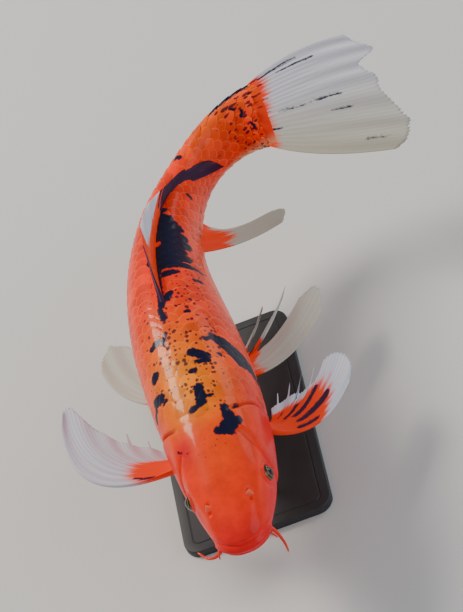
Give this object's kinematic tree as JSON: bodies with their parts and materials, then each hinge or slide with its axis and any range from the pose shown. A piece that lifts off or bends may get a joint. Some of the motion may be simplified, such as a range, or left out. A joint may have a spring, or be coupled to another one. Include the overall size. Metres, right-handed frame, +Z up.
{
  "type": "koi carp model on a display stand",
  "caption": "Life-size koi carp, orange with black spots and pale fins, bent as it swims, held over a flat steel base by short rods.",
  "frame": {"origin": "on the floor, below the middle of the whole model's bounding box", "axes": "+Z up; the fish heads along -Y with its left side towards +X"},
  "size_m": [0.3508, 0.4472, 0.209],
  "materials": {
    "koi_skin": "wet, glossy fish skin and scales, red-orange with black spots",
    "koi_fin": "thin translucent fin skin over rays, white with orange roots",
    "koi_eye": "clear wet cornea over a dark iris with a gold ring",
    "stand_steel": "brushed along the rod",
    "stand_coating": "satin black powder coat"
  },
  "bodies": {
    "root": {"head": "koi_skin", "gill_cover_left": "koi_skin", "gill_cover_right": "koi_skin", "eye_left": "koi_eye", "eye_right": "koi_eye", "nostril_left": "koi_skin", "nostril_right": "koi_skin", "lip_upper": "koi_skin", "lip_lower": "koi_skin", "barbel_long_left": "koi_skin", "barbel_long_right": "koi_skin", "barbel_short_left": "koi_skin", "barbel_short_right": "koi_skin", "trunk_front": "koi_skin", "trunk_rear": "koi_skin", "tail_stem": "koi_skin", "fin_pectoral_left": "koi_fin", "fin_pectoral_right": "koi_fin", "fin_pelvic_left": "koi_fin", "fin_pelvic_right": "koi_fin", "fin_dorsal": "koi_fin", "fin_anal": "koi_fin", "fin_tail": "koi_fin", "stand_rod_front": "stand_steel", "stand_rod_rear": "stand_steel", "stand_collar_front": "stand_steel", "stand_collar_rear": "stand_steel", "stand_base": "stand_coating"}
  },
  "joints": []
}
